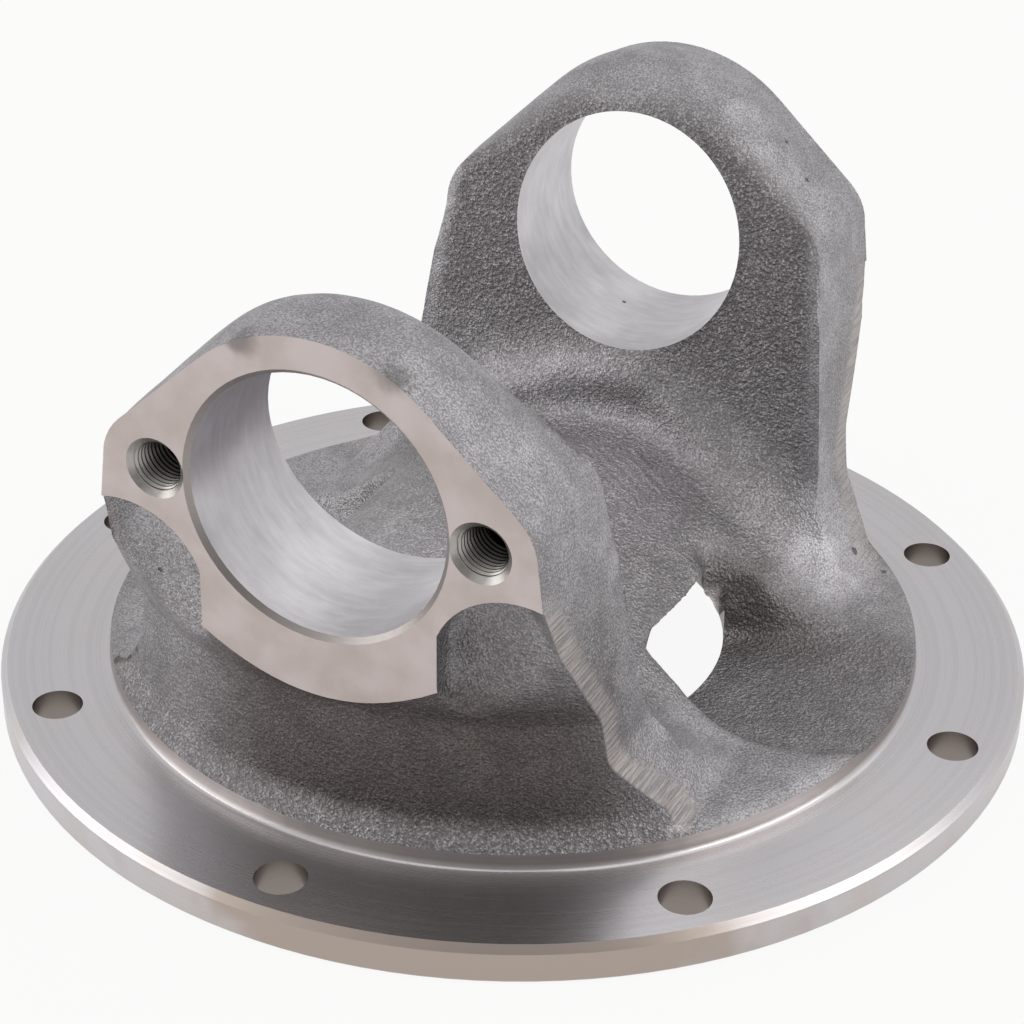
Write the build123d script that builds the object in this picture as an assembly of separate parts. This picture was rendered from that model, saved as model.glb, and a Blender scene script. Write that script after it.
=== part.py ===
from build123d import *
import math
import os

# Forged flange yoke of a heavy drive shaft, millimetres, one steel forging with machined faces.
# The origin is the centre of the flange's lower face, Z is the shaft axis, Y the cross bore's axis.

# Flange
flange_diameter = 203.2
flange_thickness = 7.7
flange_top_chamfer = 1.3
flange_bottom_chamfer = 0.8
bolt_edge_distance = 9.525
bolt_count = 8
bolt_hole_diameter = 9.65

# Turned shoulder and forged foot above the flange
bolt_land = 12.075
shoulder_height = 3.3
base_top_height = 12.2
foot_flare_width = 3.2
foot_flare_height = 4.5
foot_flare_rounding = 2.5

# The ears' outer side below the pads leans outwards like a cone
cone_start_height = 35.8
cone_slope = 0.45

# Underside: centring recess, dished web, bored throat, round forged hollow under the saddle
pilot_diameter = 158.75
pilot_depth = 2.4
web_mouth_diameter = 116.0
throat_diameter = 84.2
throat_height = 7.4
throat_length = 4.6
throat_step = 0.5
hollow_ceiling_height = 24.8
hollow_draft = 0.10
hollow_corner_chamfer = 1.6

# Cross bore and ears
bore_height = 74.07
bore_diameter = 49.2
bore_chamfer = 0.95
span_over_pads = 154.76
gap_at_bore = 100.4
gap_draft = 0.14
ear_top_radius = 31.5
lobe_offset = 30.0
lobe_rise = -0.5
lobe_radius = 11.7
lobe_foot_drop = 12.0
ear_crown = 1.6
inner_edge_steepness = 4.0
crown_distance = 8.4
crown_lobe_growth = 0.5
crown_flank_growth = 0.3
shoulder_round_width = 5.0
shoulder_round_drop = 1.4
inner_bevel_width = 5.0
inner_bevel_drop = 3.2
inner_edge_width = 0.9
inner_edge_drop = 1.2
lobe_bevel_drop = 0.6
flank_half_width = 42.6
flank_reference_height = 68.0
flank_draft = 0.122

# Flared root of each flank, where the forging flash was sheared off
root_corner_height = 26.5
root_corner_radius = 7.0
root_foot_half_width = 58.2
root_foot_radius = 4.0

# Tapped holes beside the bore and the relief pockets under them
tapped_spacing = 62.3
tapped_drill_diameter = 8.5
tapped_depth = 20.0
tapped_countersink_diameter = 11.5
pocket_half_gap = 23.1
pocket_centre_offset = 38.5
pocket_centre_drop = 24.4
pocket_roof_radius = 16.6
pocket_depth = 5.0
pocket_floor_drop = 34.0
pocket_corner_radius = 6.0
pocket_web_start = 35.5
pocket_web_foot_drop = 19.0

# Saddle between the ears: distance along X, floor height there, corner radius there
saddle_stations = [
    (0.0, 34.0, 14.0),
    (11.0, 33.5, 14.3),
    (20.0, 32.0, 15.0),
    (29.0, 29.2, 16.5),
    (37.0, 25.3, 18.0),
    (43.0, 21.2, 19.2),
    (48.0, 17.2, 20.0),
    (54.0, 13.8, 19.0),
    (59.0, 12.2, 18.0),
]

# Side channels that open the hollow towards both ends of the X axis
channel_floor_inner_height = 7.9
channel_floor_outer_height = 10.2
channel_inner_end = 38.9
channel_end_taper = 5.0
channel_inner_half_width = 14.2
channel_waist_distance = 57.5
channel_waist_half_width = 20.2
channel_mouth_half_width = 14.6
channel_wall_taper = 15.0
channel_corner_radius = 4.0
channel_corner_steps = 3
channel_tool_height = 26.0

# Values that follow from the sizes above
flange_radius = flange_diameter / 2
bolt_circle_radius = flange_radius - bolt_edge_distance
shoulder_radius = bolt_circle_radius - bolt_land
wall_radius = shoulder_radius - foot_flare_width
pad_distance = span_over_pads / 2
bore_radius = bore_diameter / 2
gap_angle = math.degrees(math.atan(gap_draft))
shoulder_top = flange_thickness + shoulder_height
ear_top_height = bore_height + ear_top_radius + ear_crown
foot_top = shoulder_top + foot_flare_height
clear_width = flange_diameter

# How far cutting tools and blanks reach past the faces that they cut
overrun = 6.0
tolerance = 0.01
clear_height = ear_top_height + overrun


def gap_half_width(height):
    """Half of the drafted gap between the ears at a height."""
    return gap_at_bore / 2 + gap_draft * (height - bore_height)


def flank_x(height):
    """Half width of the body over its flanks at a height."""
    return flank_half_width + flank_draft * (flank_reference_height - height)


def circle_tangent(centre_a, radius_a, centre_b, radius_b):
    """Ends of the upper outer tangent of two circles, a to the left of b."""
    run = centre_b[0] - centre_a[0]
    rise = centre_b[1] - centre_a[1]
    bearing = math.atan2(rise, run) + math.acos((radius_a - radius_b) / math.hypot(run, rise))
    normal = (math.cos(bearing), math.sin(bearing))
    start = (centre_a[0] + radius_a * normal[0], centre_a[1] + radius_a * normal[1])
    end = (centre_b[0] + radius_b * normal[0], centre_b[1] + radius_b * normal[1])
    return start, end


def ear_section(plane, growth, lobe_growth):
    """Ear outline on a plane whose origin is the bore axis: round top, tangents, round lobes."""
    top = ear_top_radius + growth
    lobe = lobe_radius + lobe_growth
    centre = (lobe_offset, lobe_rise)
    start, end = circle_tangent((0, 0), top, centre, lobe)
    side = (centre[0] + lobe, centre[1])
    swing = math.atan2(end[1] - centre[1], end[0] - centre[0]) / 2
    middle = (centre[0] + lobe * math.cos(swing), centre[1] + lobe * math.sin(swing))
    low = (max(side[0], flank_x(bore_height - lobe_foot_drop)), -lobe_foot_drop)
    foot = (low[0] + overrun / 2, -lobe_foot_drop - overrun)
    edges = [
        ThreePointArc((-start[0], start[1]), (0, top), start),
        Line(start, end),
        ThreePointArc(end, middle, side),
        Line(side, low),
        Line(low, foot),
        Line(foot, (-foot[0], foot[1])),
        Line((-foot[0], foot[1]), (-low[0], low[1])),
        Line((-low[0], low[1]), (-side[0], side[1])),
        ThreePointArc((-side[0], side[1]), (-middle[0], middle[1]), (-end[0], end[1])),
        Line((-end[0], end[1]), (-start[0], start[1])),
    ]
    return plane * make_face(edges)


def ear_plane(distance, lean):
    """Plane across the ear at a distance from the shaft axis, leaning outwards with height."""
    angle = math.radians(lean)
    return Plane(origin=(0, distance, bore_height), x_dir=(1, 0, 0), z_dir=(0, -math.cos(angle), math.sin(angle)))


def ear_form(side):
    """Crowned ear: it grows inwards from the pad, then rounds over to the drafted inner face."""
    inner = gap_at_bore / 2
    crown = pad_distance - crown_distance
    outer_growth = -ear_crown * overrun / crown_distance
    bevel_end = inner + inner_edge_width
    bevel_start = bevel_end + inner_bevel_width
    round_start = bevel_start + shoulder_round_width
    rounded = ear_crown - shoulder_round_drop
    bevelled = rounded - inner_bevel_drop
    lobe = crown_lobe_growth
    past = overrun / 2
    fall = past * inner_edge_steepness / 3
    stations = [
        (pad_distance + overrun, 0.0, outer_growth, outer_growth / 2),
        (crown, 0.0, ear_crown, lobe),
        (round_start, gap_angle / 3, ear_crown, lobe),
        (bevel_start, gap_angle * 2 / 3, rounded, lobe - lobe_bevel_drop / 2),
        (bevel_end, gap_angle, bevelled, lobe - lobe_bevel_drop),
        (inner, gap_angle, bevelled - inner_edge_drop, lobe - lobe_bevel_drop - inner_edge_drop),
        (inner - past, gap_angle, bevelled - inner_edge_drop - fall, lobe - lobe_bevel_drop - inner_edge_drop - fall),
    ]
    faces = [ear_section(ear_plane(s, lean), top, low) for s, lean, top, low in stations]
    form = loft(faces, ruled=True)
    if side < 0:
        form = mirror(form, Plane.XZ)
    return form


def front_outline(distance, growth):
    """Outline of the forging seen along Y: base, flared roots, leaning flanks, blank for the ears."""
    base_edge = shoulder_radius + overrun
    corner = (flank_x(root_corner_height) + growth, root_corner_height)
    foot = (root_foot_half_width + growth, base_top_height)
    top = (flank_x(ear_top_height) + growth, ear_top_height)
    half = [(base_edge, 0), (base_edge, base_top_height), foot, corner, top]
    points = half + [(-x, z) for x, z in reversed(half)]
    outline = make_face(Polyline(*points, close=True))
    corners = [v for v in outline.vertices() if abs(v.Y - root_corner_height) < tolerance]
    outline = fillet(corners, root_corner_radius)
    feet = [v for v in outline.vertices() if abs(abs(v.X) - foot[0]) < tolerance and v.Y < base_top_height + 1]
    outline = fillet(feet, root_foot_radius)
    return Plane(origin=(0, distance, 0), x_dir=(1, 0, 0), z_dir=(0, -1, 0)) * outline


def front_blank():
    """The front outline carried along Y, drafted over the last stretch towards both pads."""
    crown = pad_distance - crown_distance
    end = pad_distance + overrun
    shrink = -crown_flank_growth * (end - crown) / crown_distance
    sections = [
        front_outline(-end, shrink),
        front_outline(-crown, 0),
        front_outline(crown, 0),
        front_outline(end, shrink),
    ]
    return loft(sections, ruled=True)


def turned_envelope():
    """Round form about the shaft axis: shoulder, flared foot, upright wall, leaning cone."""
    reach = wall_radius + cone_slope * (ear_top_height - cone_start_height)
    points = [
        (0, 0),
        (shoulder_radius, 0),
        (shoulder_radius, shoulder_top),
        (wall_radius, foot_top),
        (wall_radius, cone_start_height),
        (reach, ear_top_height),
        (0, ear_top_height),
    ]
    profile = Plane.XZ * make_face(Polyline(*points, close=True))
    soft = [v for v in profile.vertices() if abs(v.X - wall_radius) < tolerance]
    profile = fillet(soft, foot_flare_rounding)
    return revolve(profile, Axis.Z)


def gap_section(x, floor, radius):
    """Section of the gap between the ears: drafted faces, round corners and a level floor."""
    foot = gap_half_width(floor)
    reach = radius / math.tan(math.radians((90 + gap_angle) / 2))
    inner = (foot - reach, floor)
    outer = (foot + reach * math.sin(math.radians(gap_angle)), floor + reach * math.cos(math.radians(gap_angle)))
    middle_y = inner[0] + radius * math.sin(math.radians(90 - gap_angle) / 2)
    middle_z = floor + radius * (1 - math.cos(math.radians(90 - gap_angle) / 2))
    top = (gap_half_width(clear_height), clear_height)
    edges = [
        Line((-inner[0], floor), inner),
        ThreePointArc(inner, (middle_y, middle_z), outer),
        Line(outer, top),
        Line(top, (-top[0], top[1])),
        Line((-top[0], top[1]), (-outer[0], outer[1])),
        ThreePointArc((-outer[0], outer[1]), (-middle_y, middle_z), (-inner[0], floor)),
    ]
    return Plane.YZ.offset(x) * make_face(edges)


def ear_gap():
    """Room between the ears, whose floor is the saddle that falls away to both ends of X."""
    end = (shoulder_radius + overrun, saddle_stations[-1][1], saddle_stations[-1][2])
    half = saddle_stations[1:] + [end]
    stations = [(-x, z, r) for x, z, r in reversed(half)] + saddle_stations[:1] + half
    return loft([gap_section(*station) for station in stations], ruled=True)


def hollow():
    """Turned hollow from below: centring recess, dished web, bored throat and flat-topped bell."""
    ceiling = hollow_ceiling_height
    throat = throat_diameter / 2
    bell_foot = throat_height + throat_length
    points = [
        (0, -overrun),
        (pilot_diameter / 2, -overrun),
        (pilot_diameter / 2, pilot_depth),
        (web_mouth_diameter / 2, pilot_depth),
        (throat, throat_height),
        (throat, bell_foot),
        (throat - throat_step, bell_foot + throat_step),
        (throat - throat_step - hollow_draft * (ceiling - bell_foot), ceiling),
        (0, ceiling),
    ]
    profile = Plane.XZ * make_face(Polyline(*points, close=True))
    rim = [v for v in profile.vertices() if v.X > tolerance and abs(v.Z - ceiling) < tolerance]
    return revolve(chamfer(rim, hollow_corner_chamfer), Axis.Z)


def channel_section(height, growth):
    """Plan of a side channel on a plane at a height over its sloping floor, its sides wider by growth."""
    end_growth = height * math.tan(math.radians(channel_end_taper))
    rise = channel_floor_outer_height - channel_floor_inner_height
    run = shoulder_radius - throat_diameter / 2
    slope = math.atan2(rise, run)
    start = throat_diameter / 2
    plane = Plane(
        origin=(start, 0, channel_floor_inner_height),
        x_dir=(math.cos(slope), 0, math.sin(slope)),
        z_dir=(-math.sin(slope), 0, math.cos(slope)),
    )
    first = channel_inner_end - start - end_growth
    waist = (channel_waist_distance - start, channel_waist_half_width + growth)
    mouth = (shoulder_radius - start, channel_mouth_half_width + growth)
    end = (mouth[0] + overrun, mouth[1])
    inner = channel_inner_half_width + growth
    edges = [
        Line((first, -inner), (first, inner)),
        ThreePointArc((first, inner), waist, mouth),
        Line(mouth, end),
        Line(end, (end[0], -end[1])),
        Line((end[0], -end[1]), (mouth[0], -mouth[1])),
        ThreePointArc((mouth[0], -mouth[1]), (waist[0], -waist[1]), (first, -inner)),
    ]
    return plane.offset(height) * make_face(edges)


def side_channel(side):
    """Channel from the hollow out over the base, with leaning walls and a round foot to them."""
    turn = 90 - channel_wall_taper
    reach = channel_corner_radius * math.tan(math.radians(turn / 2))
    sections = []
    for step in range(channel_corner_steps + 1):
        angle = math.radians(turn * step / channel_corner_steps)
        height = channel_corner_radius * (1 - math.cos(angle))
        sections.append(channel_section(height, channel_corner_radius * math.sin(angle) - reach))
    top_growth = channel_tool_height * math.tan(math.radians(channel_wall_taper))
    sections.append(channel_section(channel_tool_height, top_growth))
    tool = loft(sections, ruled=True)
    if side < 0:
        tool = mirror(tool, Plane.YZ)
    return tool


def pocket_web():
    """Slanting web that closes the upper outer corner of a pocket towards the flank."""
    back = pad_distance - pocket_depth
    roof = bore_height - pocket_centre_drop + pocket_roof_radius
    foot = bore_height - pocket_web_foot_drop
    outer = pocket_centre_offset + pocket_roof_radius
    reach = flank_x(roof) - pocket_web_start
    stretch = (outer - pocket_web_start) / reach
    deep = back - overrun
    high = roof + overrun
    at_flank = [(-deep, high), (-deep, foot), (-back, foot), (-pad_distance, roof), (-pad_distance, high)]
    far = [(-back + (y + back) * stretch, roof + (z - roof) * stretch) for y, z in at_flank]
    near = [(-back + (y + back) * tolerance, roof + (z - roof) * tolerance) for y, z in at_flank]
    return loft([
        Plane.YZ.offset(pocket_web_start) * make_face(Polyline(*near, close=True)),
        Plane.YZ.offset(outer) * make_face(Polyline(*far, close=True)),
    ], ruled=True)


def relief_pocket(side_x, side_y):
    """Pocket below a tapped hole: arched roof, upright inner side, open towards the flank."""
    roof = bore_height - pocket_centre_drop
    floor = bore_height - pocket_floor_drop
    inner_z = roof + math.sqrt(pocket_roof_radius ** 2 - (pocket_centre_offset - pocket_half_gap) ** 2)
    far = pocket_centre_offset + pocket_roof_radius
    edges = [
        Line((pocket_half_gap, floor), (pocket_half_gap, inner_z)),
        ThreePointArc(
            (pocket_half_gap, inner_z),
            (pocket_centre_offset, roof + pocket_roof_radius),
            (far, roof),
        ),
        Line((far, roof), (far, floor)),
        Line((far, floor), (pocket_half_gap, floor)),
    ]
    face = make_face(edges)
    corner = [v for v in face.vertices() if v.X < pocket_half_gap + tolerance and v.Y < floor + tolerance]
    face = fillet(corner, pocket_corner_radius)
    plane = Plane(origin=(0, -(pad_distance - pocket_depth), 0), x_dir=(1, 0, 0), z_dir=(0, -1, 0))
    tool = extrude(plane * face, pocket_depth + overrun) - pocket_web()
    if side_x < 0:
        tool = mirror(tool, Plane.YZ)
    if side_y > 0:
        tool = mirror(tool, Plane.XZ)
    return tool


def drilled_hole(x, side):
    """Blind tapping hole in a pad, countersunk and flat-bottomed."""
    mouth = Location((x, side * pad_distance, bore_height), (side * -90, 0, 0))
    radius = tapped_drill_diameter / 2
    sink = tapped_countersink_diameter / 2
    points = [
        (0, overrun),
        (sink + overrun, overrun),
        (radius, -(sink - radius)),
        (radius, -tapped_depth),
        (0, -tapped_depth),
    ]
    profile = Plane.XZ * make_face(Polyline(*points, close=True))
    return mouth * revolve(profile, Axis.Z)


def cross_bore():
    """Bore through both ears, with a chamfer at each outer mouth."""
    end = pad_distance + overrun
    chamfer_end = pad_distance - bore_chamfer
    wide = bore_radius + bore_chamfer + overrun
    points = [(0, end), (wide, end), (bore_radius, chamfer_end), (bore_radius, 0), (0, 0)]
    profile = make_face(Polyline(*points, close=True))
    one = revolve(profile, Axis.Y)
    both = one + mirror(one, Plane.XZ)
    return Pos(0, 0, bore_height) * both


def flange_disc():
    """Flange disc with its rim chamfered above and below."""
    disc = Cylinder(flange_radius, flange_thickness, align=(Align.CENTER, Align.CENTER, Align.MIN))
    rims = disc.edges().filter_by(GeomType.CIRCLE).sort_by(Axis.Z)
    disc = chamfer(rims[-1], flange_top_chamfer)
    rims = disc.edges().filter_by(GeomType.CIRCLE).sort_by(Axis.Z)
    return chamfer(rims[0], flange_bottom_chamfer)


def forged_yoke():
    """The whole forging, from the round envelope and the front outline down to its holes."""
    body = front_blank() & turned_envelope()
    on_floor = (Align.CENTER, Align.CENTER, Align.MIN)
    for side in (1, -1):
        cut = Box(clear_width, clear_width, clear_height, align=on_floor)
        body = body - Pos(0, side * (pad_distance + clear_width / 2), foot_top) * cut
    body = body - ear_gap()
    crown = Pos(0, 0, bore_height - lobe_foot_drop) * Box(clear_width, clear_width, clear_height, align=on_floor)
    body = body - (crown - ear_form(1) - ear_form(-1))
    body = body - hollow()
    for side in (1, -1):
        body = body - side_channel(side)
    for side_x in (1, -1):
        for side_y in (1, -1):
            body = body - relief_pocket(side_x, side_y)
    body = body + flange_disc()
    body = body - hollow()
    body = body - cross_bore()
    for side in (1, -1):
        for x in (tapped_spacing / 2, -tapped_spacing / 2):
            body = body - drilled_hole(x, side)
    hole = Cylinder(bolt_hole_diameter / 2, 2 * (flange_thickness + overrun))
    for place in PolarLocations(bolt_circle_radius, bolt_count):
        body = body - place * hole
    return body


os.makedirs("parts", exist_ok=True)
yoke = forged_yoke()
print("solids", len(yoke.solids()), "volume", round(yoke.volume), "mass kg", round(yoke.volume * 7.85e-6, 3))
export_step(yoke, "parts/forged_yoke.step")
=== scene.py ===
import math

import bpy
import numpy as np
from mathutils import Matrix, Vector


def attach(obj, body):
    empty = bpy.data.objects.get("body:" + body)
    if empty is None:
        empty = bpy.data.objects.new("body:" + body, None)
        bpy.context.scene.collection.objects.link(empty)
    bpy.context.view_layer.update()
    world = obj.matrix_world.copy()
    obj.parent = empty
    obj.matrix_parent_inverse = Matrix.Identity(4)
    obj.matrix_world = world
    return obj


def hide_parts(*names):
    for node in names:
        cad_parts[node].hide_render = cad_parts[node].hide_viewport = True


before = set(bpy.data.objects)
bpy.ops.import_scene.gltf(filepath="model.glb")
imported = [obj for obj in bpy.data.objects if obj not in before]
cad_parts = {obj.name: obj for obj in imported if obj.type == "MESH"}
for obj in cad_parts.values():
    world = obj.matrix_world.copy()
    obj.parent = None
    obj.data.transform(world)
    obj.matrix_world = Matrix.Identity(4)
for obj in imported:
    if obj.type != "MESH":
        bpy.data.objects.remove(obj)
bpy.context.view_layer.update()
mm = 0.001

# Camera, found by fitting the flange, the bolt holes, the bores and the pads to the photograph.
cameraView = {
    "azimuth": 25.784,  # degrees from -Y towards +X
    "elevation": 29.918,  # degrees above the floor
    "roll": 0.782,  # degrees, turns the camera about its own axis
    "distance": 546.358,  # mm from the flange's lower centre, along the view
    "originAt": (512.813, 658.242),  # where that centre lies in the 1024 px frame
    "focal": 2699.587,  # px
    "imageSize": 1024,
    "sensor": 36.0,
    "clip": (0.01, 50.0),  # m
}


# The way towards an azimuth and an elevation, in degrees
def wayTo(azimuth, elevation):
    az, el = math.radians(azimuth), math.radians(elevation)
    return Vector((math.sin(az) * math.cos(el), -math.cos(az) * math.cos(el), math.sin(el)))


# The camera looks along the view at the point that puts the flange's centre at its place in the picture
def addCamera(view):
    az, roll = math.radians(view["azimuth"]), math.radians(view["roll"])
    back = wayTo(view["azimuth"], view["elevation"])
    level = Vector((math.cos(az), math.sin(az), 0.0))
    upright = back.cross(level)
    right = level * math.cos(roll) + upright * math.sin(roll)
    up = upright * math.cos(roll) - level * math.sin(roll)
    half = view["imageSize"] / 2
    perPixel = view["distance"] / view["focal"]
    offX = (view["originAt"][0] - half) * perPixel
    offY = (half - view["originAt"][1]) * perPixel
    place = (back * view["distance"] - right * offX - up * offY) * mm
    data = bpy.data.cameras.new("photoCamera")
    data.sensor_width = view["sensor"]
    data.sensor_height = view["sensor"]
    data.sensor_fit = "HORIZONTAL"
    data.lens = view["focal"] * view["sensor"] / view["imageSize"]
    data.clip_start, data.clip_end = view["clip"]
    camera = bpy.data.objects.new("photoCamera", data)
    bpy.context.scene.collection.objects.link(camera)
    turned = Matrix((right, up, back)).transposed().to_4x4()
    camera.matrix_world = Matrix.Translation(place) @ turned
    bpy.context.scene.camera = camera


addCamera(cameraView)
print("camera placed")


# Wraps one shader socket, so that sums, differences and products of sockets add their Math nodes.
class Sock:
    def __init__(self, nodes, socket):
        self.nodes = nodes
        self.socket = socket

    def math(self, operation, *others, swap=False):
        values = [self, *others]
        if swap:
            values.reverse()
        return self.nodes.add("ShaderNodeMath", {"operation": operation}, dict(enumerate(values)))

    def __add__(self, other):
        return self.math("ADD", other)

    def __radd__(self, other):
        return self.math("ADD", other, swap=True)

    def __sub__(self, other):
        return self.math("SUBTRACT", other)

    def __rsub__(self, other):
        return self.math("SUBTRACT", other, swap=True)

    def __mul__(self, other):
        return self.math("MULTIPLY", other)

    def __rmul__(self, other):
        return self.math("MULTIPLY", other, swap=True)

    # 0 at low, 1 at high, smooth in between; low may be the larger one
    def between(self, low, high):
        settings = {"interpolation_type": "SMOOTHSTEP", "clamp": True}
        ends = {1: min(low, high), 2: max(low, high)}
        part = self.nodes.add("ShaderNodeMapRange", settings, {0: self, **ends})
        return part if low < high else 1.0 - part


# A node tree and the short calls that fill it
class Nodes:
    def __init__(self, tree):
        self.tree = tree
        self.tree.nodes.clear()

    # The one method that adds a node: its type, its settings, then the values or links of its sockets
    def add(self, kind, settings, values, out=0):
        node = self.tree.nodes.new(kind)
        for key, value in settings.items():
            setattr(node, key, value)
        for key, value in values.items():
            if isinstance(value, Sock):
                self.tree.links.new(value.socket, node.inputs[key])
            elif isinstance(value, tuple) and len(value) == 3 and node.inputs[key].type == "RGBA":
                node.inputs[key].default_value = (*value, 1.0)
            else:
                node.inputs[key].default_value = value
        return Sock(self, node.outputs[out]) if node.outputs else None

    def vector(self, operation, first, second, out=0):
        return self.add("ShaderNodeVectorMath", {"operation": operation}, {0: first, 1: second}, out)

    def joined(self, x, y, z):
        return self.add("ShaderNodeCombineXYZ", {}, {0: x, 1: y, 2: z})

    def mixed(self, factor, first, second, blend="MIX"):
        settings = {"data_type": "RGBA", "blend_type": blend}
        return self.add("ShaderNodeMix", settings, {0: factor, 6: first, 7: second}, 2)

    # 1 for the rays that show the backdrop: to the camera, in reflections and through glass
    def shown(self):
        camera = self.add("ShaderNodeLightPath", {}, {}, "Is Camera Ray")
        glossy = self.add("ShaderNodeLightPath", {}, {}, "Is Glossy Ray")
        through = self.add("ShaderNodeLightPath", {}, {}, "Is Transmission Ray")
        return (camera + glossy + through).math("MINIMUM", 1.0)


# One material. Lengths in it are millimetres, because it measures each point's place in them.
class Finish(Nodes):
    def __init__(self, name):
        self.material = bpy.data.materials.new(name)
        self.material.use_nodes = True
        super().__init__(self.material.node_tree)
        coords = self.add("ShaderNodeTexCoord", {}, {}, "Object")
        self.place = self.vector("MULTIPLY", coords, (1 / mm, 1 / mm, 1 / mm))
        parts = self.add("ShaderNodeSeparateXYZ", {}, {0: self.place}).socket.node.outputs
        self.x, self.y, self.z = (Sock(self, part) for part in parts)

    # Noise of about 0 to 1 whose largest features are size mm across
    def noise(self, size, detail=3.0, rough=0.5, vector=None):
        values = {"Vector": vector or self.place, "Scale": 1 / size, "Detail": detail, "Roughness": rough}
        return self.add("ShaderNodeTexNoise", {"noise_dimensions": "3D", "normalize": True}, values)

    # Round pebbles about size mm across: 1 at the middle of each, falling smoothly to about 0 between them
    def pebbles(self, size, vector=None):
        values = {"Vector": vector or self.place, "Scale": 1 / size}
        return 1.0 - self.add("ShaderNodeTexVoronoi", {"feature": "F1"}, values)

    # 1 within a spot round a place, 0 outside it. Core, edge and fray are shares of its radius: where it is
    # full, where it ends, and how far the noise rag frays it.
    def spot(self, centre, radius, rag, core=0.6, edge=1.15, fray=1.6):
        away = self.vector("DISTANCE", self.place, centre, "Value")
        return (away + (rag - 0.5) * radius * fray).between(radius * edge, radius * core)

    # The same along a line from one place to another
    def crack(self, start, end, radius, rag, core=0.5, edge=1.2, fray=2.2):
        along = Vector(end) - Vector(start)
        fromStart = self.vector("SUBTRACT", self.place, start)
        run = self.vector("DOT_PRODUCT", fromStart, tuple(along), "Value")
        share = (run * (1 / along.length_squared)).math("MAXIMUM", 0.0).math("MINIMUM", 1.0)
        foot = self.add("ShaderNodeVectorMath", {"operation": "SCALE"}, {0: tuple(along), "Scale": share})
        away = self.vector("DISTANCE", fromStart, foot, "Value")
        return (away + (rag - 0.5) * radius * fray).between(radius * edge, radius * core)

    def attribute(self, name):
        return self.add("ShaderNodeAttribute", {"attribute_name": name}, {}, "Fac")

    def bumped(self, height, strength, depth):
        values = {"Height": height, "Strength": strength, "Distance": depth * mm}
        return self.add("ShaderNodeBump", {}, values)

    # Turned steel takes turning: reflections spread across the grooves that run round the shaft axis
    def finished(self, colour, rough, normal=None, metallic=1.0, turning=0.0):
        values = {"Base Color": colour, "Roughness": rough, "Metallic": metallic}
        if turning:
            values.update({"Anisotropic": turning, "Anisotropic Rotation": 0.25})
        if normal is not None:
            values["Normal"] = normal
        shader = self.add("ShaderNodeBsdfPrincipled", {}, values)
        self.add("ShaderNodeOutputMaterial", {}, {"Surface": shader})
        return self.material


# Sizes of the forging that the scene reads its zones from, in mm, as the frame has them
yoke = {
    "flangeRadius": 101.6,
    "flangeTop": 7.7,
    "shoulderRadius": 80.0,
    "shoulderTop": 11.0,
    "boltCircle": 92.075,
    "boltHole": 4.825,
    "padDistance": 77.38,
    "boreHeight": 74.07,
    "boreRadius": 24.6,
    "tapX": 31.15,
    "tapSink": 5.75,
    "tapDrill": 4.25,
    "tapDepth": 20.0,
    "pilotRadius": 79.375,
    "pilotDepth": 2.4,
    "webMouth": 58.0,
    "throatRadius": 42.1,
    "throatFoot": 7.4,
    "throatTop": 12.0,
    "flankWidth": 42.6,
    "flankHeight": 68.0,
    "flankDraft": 0.122,
    "rootTop": 26.5,  # where the flank's flared root begins
    "rootFoot": (58.2, 12.2),  # half width and height of the root's foot
    "wallRadius": 76.8,  # upright wall of the body, from the flare up to the leaning cone
    "flareTop": 15.5,
    "coneStart": 35.8,
    "coneSlope": 0.45,
}

zones = ["cast", "flangeTop", "rim", "underside", "shoulder", "pad", "bore", "hole", "tapped", "throat",
         "boreEdge"]
cast, flangeTop, rim, underside, shoulder, pad, bore, hole, tapped, throat, boreEdge = range(len(zones))


# The CAD node as merged points in mm and triangles, both as arrays
def cadSurface(node):
    data = node.data
    raw = np.empty(len(data.vertices) * 3, np.float32)
    data.vertices.foreach_get("co", raw)
    corners = np.empty(len(data.loops), np.int32)
    data.loops.foreach_get("vertex_index", corners)
    spots = np.round(raw.reshape(-1, 3).astype(float) / mm, 3)
    points, index = np.unique(spots, axis=0, return_inverse=True)
    faces = index.reshape(-1)[corners].reshape(-1, 3)
    whole = (faces[:, 0] != faces[:, 1]) & (faces[:, 1] != faces[:, 2]) & (faces[:, 2] != faces[:, 0])
    return points, faces[whole]


# The cross product of two edges of each face, made one unit long, and half its length, the area
def faceNormals(points, faces):
    a, b, c = (points[faces[:, k]] for k in range(3))
    across = np.cross(b - a, c - a)
    length = np.linalg.norm(across, axis=1)
    return across / np.maximum(length, 1e-12)[:, None], length / 2


# Sum of the face normals round each point, weighted by area, made one unit long
def pointNormals(points, faces):
    normal, area = faceNormals(points, faces)
    total = np.zeros_like(points)
    for k in range(3):
        for axis in range(3):
            total[:, axis] += np.bincount(faces[:, k], normal[:, axis] * area, len(points))
    return total / np.maximum(np.linalg.norm(total, axis=1), 1e-12)[:, None]


# How faces are told apart: shares of their normal along an axis, and distances in mm
telling = {
    "level": 0.99,
    "upright": 0.12,
    "close": 0.05,
    "near": 0.1,
    "rimEdge": 1.5,
    "pilotNear": 0.4,
    "webSlope": -0.5,
    "shoulderNear": 0.2,
    "throatNear": 0.5,
    "boreNear": 1.2,
    "boreSlope": 0.85,
    "boreChamfer": 0.3,
    "crispFrom": (38.0, 40.0),  # how far out along X and Y the flanks' crisp edges begin
    "flankNormal": (0.45, 0.2),  # least share along X and most along Y on a sheared flank
    "wallNormal": 0.4,  # least share along Y on the body's wall
    "machinedTurn": 30.0,  # degrees between two faces from which their edge is sharp
    "castTurn": 36.0,
    "footTurn": 0.8,  # cosine of the same at the shoulder's foot
}


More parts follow.
